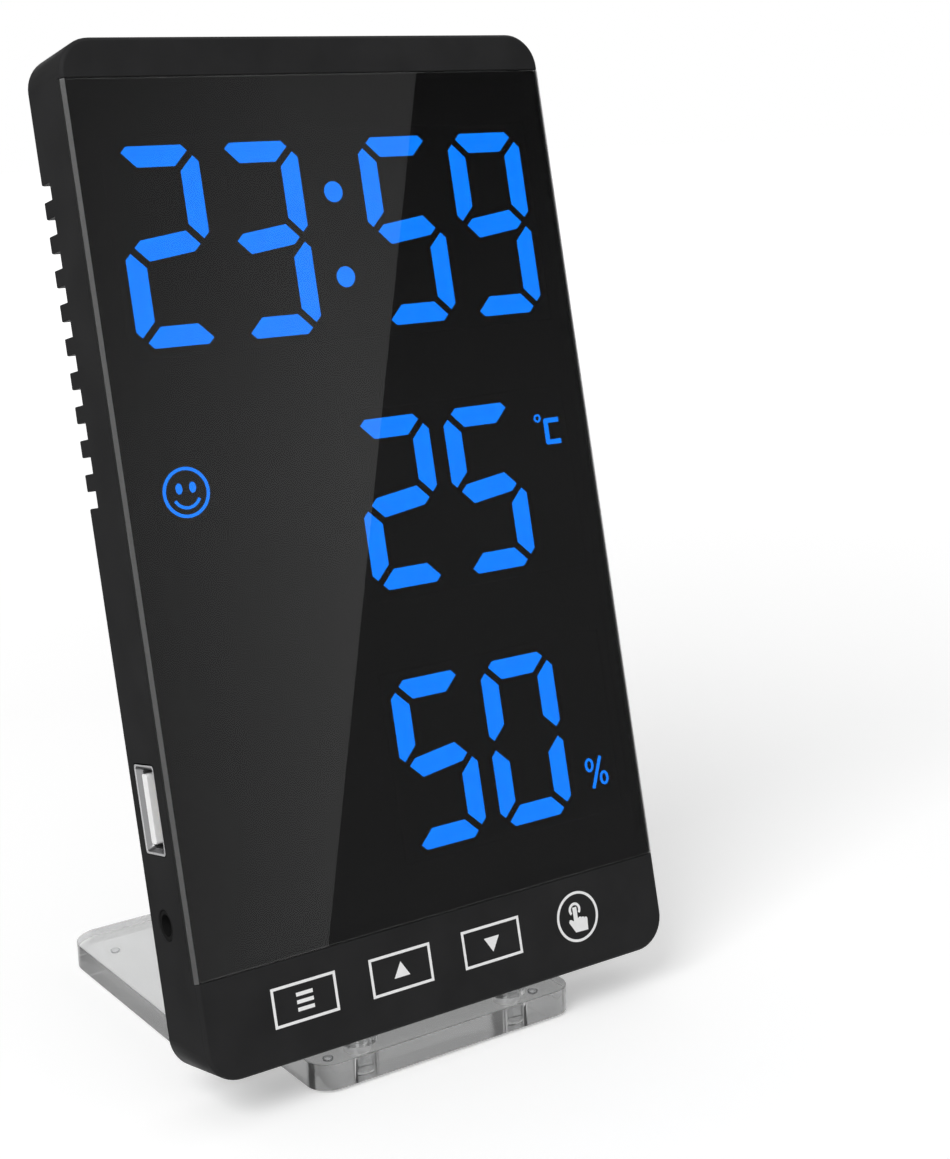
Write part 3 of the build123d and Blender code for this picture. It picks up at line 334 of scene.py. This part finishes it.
ribbon_grey = moulded("ribbon_grey", (0.4, 0.41, 0.43), 0.5, 0.3, 0.004)
cell_steel = metal("cell_steel", (0.62, 0.62, 0.63), 0.2)

node_finishes = {
    black_plastic: ["front_housing", "rear_cover", "battery_cover"],
    lens_clear: ["front_lens"],
    mirror_dark: ["mirror_film"],
    tape_black: ["lens_tape"],
    frame_black: ["time_reflector", "temperature_reflector", "humidity_reflector", "comfort_reflector"],
    lit_blue: [
        "time_bars", "temperature_bars", "humidity_bars", "colon_dots", "unit_signs", "comfort_face",
    ],
    unlit_smoke: ["dark_bars", "sign_diffusers"],
    lamp_resin: ["led_chips"],
    board_green: ["main_board", "power_board", "touch_board"],
    bare_copper: ["touch_electrodes"],
    chip_black: ["touch_header", "microcontroller", "display_drivers", "buzzer", "resistors"],
    bright_tin: ["clock_crystal", "battery_contacts", "board_screws", "power_board_screws"],
    ceramic_tan: ["capacitors", "power_parts"],
    sensor_white: ["humidity_sensor"],
    ribbon_grey: ["power_ribbon"],
    white_ink: ["key_legends"],
    shaded_outlet_steel: ["usb_shell"],
    bright_steel: ["dc_jack_pin"],
    port_white: ["usb_tongue"],
    gold_plate: ["usb_contacts", "dc_jack_spring"],
    port_black: ["dc_jack_body"],
    cell_steel: ["coin_cell"],
    black_metal: ["case_screws"],
    stand_clear: ["stand_plate"],
    peg_clear: ["stand_pegs"],
    soft_clear: ["stand_feet"],
}
for finish, names in node_finishes.items():
    for name in names:
        nodes[name].data.materials.clear()
        nodes[name].data.materials.append(finish)


# Tools for pieces

MERGE_REACH = 0.0005
SHARP_ANGLE = 35


def piece(name, shape, body, finish, slot, *replaced):
    """Finished mesh that rides on a body."""
    bmesh.ops.remove_doubles(shape, verts=shape.verts, dist=MERGE_REACH * MM)
    bmesh.ops.recalc_face_normals(shape, faces=shape.faces)
    mesh = bpy.data.meshes.new(name)
    shape.to_mesh(mesh)
    shape.free()
    mesh.shade_smooth()
    mesh.set_sharp_from_angle(angle=radians(SHARP_ANGLE))
    mesh.materials.append(finish)
    obj = bpy.data.objects.new(name, mesh)
    bpy.context.scene.collection.objects.link(obj)
    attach(obj, body)
    if replaced:
        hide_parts(*replaced)
    return obj


def add_block(shape, low, high, soften=0.0, segments=2):
    """Block between two corners in millimetres, with softened edges."""
    size = [b - a for a, b in zip(low, high)]
    middle = [(a + b) / 2 for a, b in zip(low, high)]
    place = Matrix.Translation(Vector(middle) * MM) @ Matrix.Diagonal((*(s * MM for s in size), 1))
    made = bmesh.ops.create_cube(shape, size=1.0, matrix=place)
    if soften > 0:
        edges = list({edge for vert in made["verts"] for edge in vert.link_edges})
        bmesh.ops.bevel(
            shape, geom=edges, offset=soften * MM, offset_type="OFFSET", affect="EDGES",
            segments=segments, profile=0.5, material=-1,
        )


def add_turned(shape, profile, centre, steps=48):
    """Turned shape about the upright line through centre, from its profile of radius and height."""
    turned = bmesh.new()
    verts = [turned.verts.new((radius * MM, 0, height * MM)) for radius, height in profile]
    for start, end in zip(verts, verts[1:]):
        turned.edges.new((start, end))
    bmesh.ops.spin(
        turned, geom=turned.verts[:] + turned.edges[:], cent=(0, 0, 0), axis=(0, 0, 1),
        angle=2 * pi, steps=steps, use_merge=True,
    )
    bmesh.ops.remove_doubles(turned, verts=turned.verts, dist=MERGE_REACH * MM)
    bmesh.ops.translate(turned, vec=Vector(centre) * MM, verts=turned.verts)
    turned_mesh = bpy.data.meshes.new("turned")
    turned.to_mesh(turned_mesh)
    turned.free()
    shape.from_mesh(turned_mesh)
    bpy.data.meshes.remove(turned_mesh)


# Dark half mirror, in contact with the rear of the lens
FILM_FRONT = -1.17
FILM_REAR = -1.34
FILM_SIDE_GAP = 0.08
FILM_END_GAP = 0.05
FILM_SOFT = 0.03
film_half = BODY_WIDTH / 2 - FILM_SIDE_GAP
film_sheet = bmesh.new()
add_block(
    film_sheet,
    (-film_half, LENS_BOTTOM + FILM_END_GAP, FILM_REAR),
    (film_half, LENS_TOP - FILM_END_GAP, FILM_FRONT),
    FILM_SOFT,
)
bmesh.ops.transform(film_sheet, matrix=FACE, verts=film_sheet.verts)
piece("mirror_sheet", film_sheet, "clock", mirror_dark, "dark_film", "mirror_film")

# Pegs, a hair slimmer than their holes, with rounded tops
PEG_LOW, PEG_HIGH = (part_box("stand_pegs")[corner].z / MM for corner in (0, 1))
PEG_LIFT = 0.05
PEG_RADIUS = 2.33
PEG_PLACE = 15.0
PEG_DEPTH = 6.9
pegs = bmesh.new()
for side in (-1, 1):
    add_turned(
        pegs,
        [(0, PEG_LOW + PEG_LIFT), (2.1, PEG_LOW + PEG_LIFT), (PEG_RADIUS, PEG_LOW + 0.3),
         (PEG_RADIUS, PEG_HIGH - 0.5), (2.2, PEG_HIGH - 0.18), (1.9, PEG_HIGH), (0, PEG_HIGH)],
        (side * PEG_PLACE, FACE_BACK + PEG_DEPTH, 0),
    )
piece("stand_peg_pair", pegs, "stand", peg_clear, "clear_stand", "stand_pegs")

# Soft feet with rounded rims, at their places across and in depth behind the face
FOOT_PROFILE = [(0, 0), (0.5, 0), (0.68, 0.04), (0.81, 0.13), (0.88, 0.27), (0.9, 0.49), (0, 0.49)]
FOOT_PLACES = [(20.6, 7.0), (30.4, STAND_DEPTH - 8.3)]
feet = bmesh.new()
for across, depth in FOOT_PLACES:
    for side in (-1, 1):
        add_turned(feet, FOOT_PROFILE, (side * across, FACE_BACK + depth, 0))
piece("soft_feet", feet, "stand", soft_clear, "soft_foot", "stand_feet")

# Raised marks on the rear: arrow on the battery cover, dot where it locks, ring where it opens
COVER_CENTRE = (27.116, 71.95)
MARK_SINK = 0.05
MARK_REACH = 13.4
MARK_STEPS = 32
ARROW_PLACE = 7.6
ARROW_HEIGHT = 0.2
arrow = bmesh.new()
tip = Matrix.Translation(Vector((COVER_CENTRE[0], COVER_CENTRE[1] + ARROW_PLACE, MARK_SINK)) * MM)
bmesh.ops.create_cone(
    arrow, cap_ends=True, segments=3, radius1=1.25 * MM, radius2=1.1 * MM, depth=ARROW_HEIGHT * MM,
    matrix=tip @ Matrix.Rotation(radians(90), 4, "Z"),
)
add_block(
    arrow,
    (COVER_CENTRE[0] - 0.3, COVER_CENTRE[1] + 4.8, -MARK_SINK),
    (COVER_CENTRE[0] + 0.3, COVER_CENTRE[1] + 7.2, 0.14),
    0.05,
)
bmesh.ops.transform(arrow, matrix=REAR, verts=arrow.verts)
piece("cover_arrow", arrow, "battery_cover", black_plastic, "black_plastic")

LOCKED_DOT = [(0, -MARK_SINK), (0.9, -MARK_SINK), (0.9, 0.08), (0.8, 0.15), (0, 0.15)]
OPEN_RING = [
    (0.6, -MARK_SINK), (1.0, -MARK_SINK), (1.0, 0.1), (0.94, 0.15),
    (0.66, 0.15), (0.6, 0.1), (0.6, -MARK_SINK),
]
lock_marks = bmesh.new()
for angle, profile in ((90, LOCKED_DOT), (150, OPEN_RING)):
    across = COVER_CENTRE[0] + MARK_REACH * cos(radians(angle))
    up = COVER_CENTRE[1] + MARK_REACH * sin(radians(angle))
    add_turned(lock_marks, profile, (across, up, 0), MARK_STEPS)
bmesh.ops.transform(lock_marks, matrix=REAR, verts=lock_marks.verts)
piece("lock_marks", lock_marks, "clock", black_plastic, "black_plastic")


# Edges of moulded and cut pieces, softened


def soften_edges(name, width, segments=2, angle=30):
    """Join a node's loose triangles into its flat faces and round its edges, in millimetres."""
    obj = nodes[name]
    weld = obj.modifiers.new("joined", "WELD")
    weld.merge_threshold = MERGE_REACH * MM
    faces = obj.modifiers.new("flat faces", "DECIMATE")
    faces.decimate_type = "DISSOLVE"
    faces.angle_limit = radians(0.5)
    bevel = obj.modifiers.new("soft edges", "BEVEL")
    bevel.width = width * MM
    bevel.segments = segments
    bevel.limit_method = "ANGLE"
    bevel.angle_limit = radians(angle)
    bevel.use_clamp_overlap = False
    bevel.harden_normals = True


soften_edges("usb_shell", 0.08)
soften_edges("front_housing", 0.2)
soften_edges("rear_cover", 0.15)
soften_edges("battery_cover", 0.15)
soften_edges("case_screws", 0.08)


# Stage


def stage_finish(name):
    """Material of the studio, without a shader, and its node tree."""
    material = bpy.data.materials.new(name)
    material.use_nodes = True
    tree = material.node_tree
    tree.nodes.remove(tree.nodes["Principled BSDF"])
    return material, tree


def stage_sheet(name, corners, material):
    """Flat sheet of the studio, from its corners."""
    shape = bmesh.new()
    shape.faces.new([shape.verts.new(corner) for corner in corners])
    mesh = bpy.data.meshes.new(name)
    shape.to_mesh(mesh)
    shape.free()
    mesh.materials.append(material)
    obj = bpy.data.objects.new(name, mesh)
    bpy.context.scene.collection.objects.link(obj)
    return obj


def seen_rays(tree):
    """One for rays from the camera, mirrors and glass, nought for light that falls on things."""
    path = tree.nodes.new("ShaderNodeLightPath")
    mirrored = reckon(tree, "MAXIMUM", path.outputs["Is Camera Ray"], path.outputs["Is Glossy Ray"])
    return reckon(tree, "MAXIMUM", mirrored, path.outputs["Is Transmission Ray"])


# Floor: pale, lifted to white as it runs away from the clock
FLOOR_REACH = 6.0
FLOOR_GREY = 0.8
FLOOR_LIFT = 0.36
FAR_LIFT = 0.75
LIFT_NEAR = 0.2
LIFT_FAR = 1.2
floor_finish, floor_tree = stage_finish("floor_pale")
floor_diffuse = floor_tree.nodes.new("ShaderNodeBsdfDiffuse")
floor_diffuse.inputs["Color"].default_value = (FLOOR_GREY, FLOOR_GREY, FLOOR_GREY, 1)
floor_place = floor_tree.nodes.new("ShaderNodeTexCoord")
floor_distance = floor_tree.nodes.new("ShaderNodeVectorMath")
floor_distance.operation = "LENGTH"
floor_tree.links.new(floor_place.outputs["Object"], floor_distance.inputs[0])
floor_lift = ranged(
    floor_tree, floor_distance.outputs["Value"], FLOOR_LIFT, FAR_LIFT, LIFT_NEAR, LIFT_FAR,
)
floor_glow = floor_tree.nodes.new("ShaderNodeEmission")
floor_tree.links.new(
    reckon(floor_tree, "MULTIPLY", seen_rays(floor_tree), floor_lift), floor_glow.inputs["Strength"],
)
floor_sum = floor_tree.nodes.new("ShaderNodeAddShader")
floor_tree.links.new(floor_diffuse.outputs[0], floor_sum.inputs[0])
floor_tree.links.new(floor_glow.outputs[0], floor_sum.inputs[1])
floor_tree.links.new(floor_sum.outputs[0], floor_tree.nodes["Material Output"].inputs["Surface"])
stage_sheet(
    "floor",
    [(-FLOOR_REACH, -FLOOR_REACH, 0), (FLOOR_REACH, -FLOOR_REACH, 0),
     (FLOOR_REACH, FLOOR_REACH, 0), (-FLOOR_REACH, FLOOR_REACH, 0)],
    floor_finish,
)

# World: white to the eye, softer as light
WORLD_LIGHT = 0.5
world = bpy.data.worlds.new("studio")
bpy.context.scene.world = world
world.use_nodes = True
world_tree = world.node_tree
world_white = world_tree.nodes["Background"]
world_soft = world_tree.nodes.new("ShaderNodeBackground")
for background, strength in ((world_white, 1.0), (world_soft, WORLD_LIGHT)):
    background.inputs["Color"].default_value = (1, 1, 1, 1)
    background.inputs["Strength"].default_value = strength
world_mix = world_tree.nodes.new("ShaderNodeMixShader")
world_tree.links.new(seen_rays(world_tree), world_mix.inputs["Fac"])
world_tree.links.new(world_soft.outputs[0], world_mix.inputs[1])
world_tree.links.new(world_white.outputs[0], world_mix.inputs[2])
world_tree.links.new(world_mix.outputs[0], world_tree.nodes["World Output"].inputs["Surface"])


# Cards seen by mirrors alone

FADE_START = 0.29
FADE_END = 0.54
SIDE_FADE_START = 0.47
SIDE_FADE_END = 0.68


def card_finish(name, low, high, left):
    """Studio card that fades from its bottom to its top, and towards its left."""
    material, tree = stage_finish(name)
    fade = ranged(tree, along(tree, "Generated", "Z"), low, high, FADE_START, FADE_END)
    sideways = ranged(tree, along(tree, "Generated", "X"), left, 1.0, SIDE_FADE_START, SIDE_FADE_END)
    glow = tree.nodes.new("ShaderNodeEmission")
    tree.links.new(reckon(tree, "MULTIPLY", fade, sideways), glow.inputs["Strength"])
    tree.links.new(glow.outputs[0], tree.nodes["Material Output"].inputs["Surface"])
    return material


def mirror_only(obj):
    """Leave a card to reflections alone."""
    obj.visible_camera = False
    obj.visible_diffuse = False
    obj.visible_transmission = False
    obj.visible_volume_scatter = False
    obj.visible_shadow = False


def card(name, outline, distance, low, high, left=1.0):
    """Card parallel to the face, at this distance in front of it, with its outline in millimetres."""
    corners = [FACE @ (Vector((x - BODY_WIDTH / 2, y, distance)) * MM) for x, y in outline]
    mirror_only(stage_sheet(name, corners, card_finish(name, low, high, left)))


# Cards whose mirror image makes the slanting gloss in the lens
CARD_TOP = 486.4
card("dark_card", [(60, -71), (700, -71), (700, CARD_TOP), (60, CARD_TOP)], 300, 0.22, 0.05)
card("pale_card", [(-60, -69), (169, -69), (331.2, CARD_TOP), (-60, CARD_TOP)], 290, 0.9, 0.48, 0.55)

# Cards behind the left side and on the floor beside it, which keep its plastic dark
SIDE_LEVEL = 0.2
FLOOR_CARD_HEIGHT = 0.0003
side_cards = {
    "side_card": [(-0.3, 0.04, 0.0), (0.0, 0.24, 0.0), (0.0, 0.24, 0.4), (-0.3, 0.04, 0.4)],
    "floor_card": [
        (x, y, FLOOR_CARD_HEIGHT) for x, y in ((-0.32, -0.03), (-0.047, -0.03), (-0.047, 0.2), (-0.32, 0.2))
    ],
}
for name, corners in side_cards.items():
    mirror_only(stage_sheet(name, corners, card_finish(name, SIDE_LEVEL, SIDE_LEVEL, 1.0)))


def soft_lamp(name, place, target, size, power):
    """Large square lamp that looks at a target."""
    data = bpy.data.lights.new(name, "AREA")
    data.shape = "SQUARE"
    data.size = size
    data.energy = power
    lamp = bpy.data.objects.new(name, data)
    bpy.context.scene.collection.objects.link(lamp)
    lamp.location = place
    lamp.rotation_euler = (Vector(target) - Vector(place)).to_track_quat("-Z", "Y").to_euler()
    lamp.visible_camera = False


soft_lamp("key_lamp", (-0.9, -0.52, 1.0), (0, 0, 0.05), 0.75, 11.5)

# Camera at the photograph's place
RIGHT = Vector((0.8268, -0.5617, -0.0302))
DOWN = Vector((-0.1277, -0.1351, -0.9826))
FORWARD = Vector((0.5478, 0.8162, -0.1834))
CAMERA_PLACE = Vector((-168.70, -300.36, 154.41)) * MM
LENS_LENGTH = 62.43
SENSOR = 36.0
SHIFT_RIGHT = 0.0003
SHIFT_DOWN = 0.0801
camera_data = bpy.data.cameras.new("camera")
camera_data.sensor_fit = "VERTICAL"
camera_data.sensor_height = SENSOR
camera_data.lens = LENS_LENGTH
camera_data.shift_x = SHIFT_RIGHT
camera_data.shift_y = -SHIFT_DOWN
camera_data.clip_start = 0.01
camera_data.clip_end = 50.0
camera = bpy.data.objects.new("camera", camera_data)
bpy.context.scene.collection.objects.link(camera)
turn = Matrix((RIGHT, -DOWN, -FORWARD)).transposed()
camera.matrix_world = Matrix.Translation(CAMERA_PLACE) @ turn.to_4x4()
bpy.context.scene.camera = camera
bpy.context.scene.view_settings.view_transform = "Standard"

# Clear blocks pass light on many times inside
MOST_BOUNCES = 24
CLEAR_BOUNCES = 16
bounces = bpy.context.scene.cycles
bounces.max_bounces = MOST_BOUNCES
bounces.glossy_bounces = CLEAR_BOUNCES
bounces.transmission_bounces = CLEAR_BOUNCES
bounces.transparent_max_bounces = CLEAR_BOUNCES
